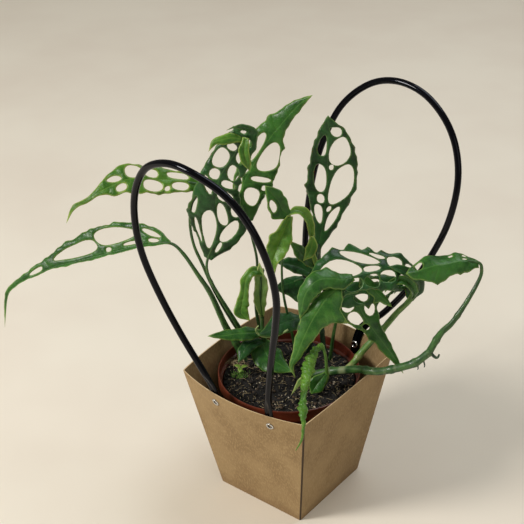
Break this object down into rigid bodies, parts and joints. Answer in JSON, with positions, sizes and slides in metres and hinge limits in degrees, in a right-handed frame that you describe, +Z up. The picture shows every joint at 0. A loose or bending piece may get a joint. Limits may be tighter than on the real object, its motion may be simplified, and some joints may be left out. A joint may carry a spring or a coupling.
{
  "type": "potted monstera obliqua",
  "caption": "Potted climbing aroid with perforated lacy leaves on thin stems, in a round grow pot inside a folded kraft board carrier with two tall tube loop handles.",
  "frame": {"origin": "centre of the carrier's flat underside", "axes": "+Z up; -Y towards the panel with the front handle; +X towards the carrier's plain right panel"},
  "size_m": [0.3629, 0.2323, 0.3437],
  "materials": {
    "kraft_board": "matte brown fibre board with pale cut edges",
    "pot_plastic": "satin red-brown moulded plastic",
    "tube_black": "glossy near-black soft tube",
    "eyelet_metal": "bright plated rolled metal",
    "soil": "damp dark peat with tan fibres",
    "leaf_dark": "satin dark green leaf with paler veins",
    "leaf_mid": "satin mid green leaf with paler veins",
    "leaf_young": "satin young yellow-green leaf"
  },
  "bodies": {
    "root": {"carrier": "kraft_board", "pot": "pot_plastic", "handle_front": "tube_black", "handle_back": "tube_black", "eyelet_front_left": "eyelet_metal", "eyelet_front_right": "eyelet_metal", "eyelet_back_left": "eyelet_metal", "eyelet_back_right": "eyelet_metal", "soil": "soil", "leaf_far_left_low": "leaf_dark", "leaf_far_left_high": "leaf_young", "leaf_left": "leaf_dark", "leaf_top": "leaf_mid", "leaf_right_upright": "leaf_mid", "leaf_right_pendant": "leaf_mid", "shoot_creeping": "leaf_mid", "shoot_centre": "leaf_young", "shoot_left": "leaf_mid", "leaf_low_centre": "leaf_dark", "leaf_unfurling": "leaf_young", "sprout": "leaf_young"}
  },
  "joints": []
}
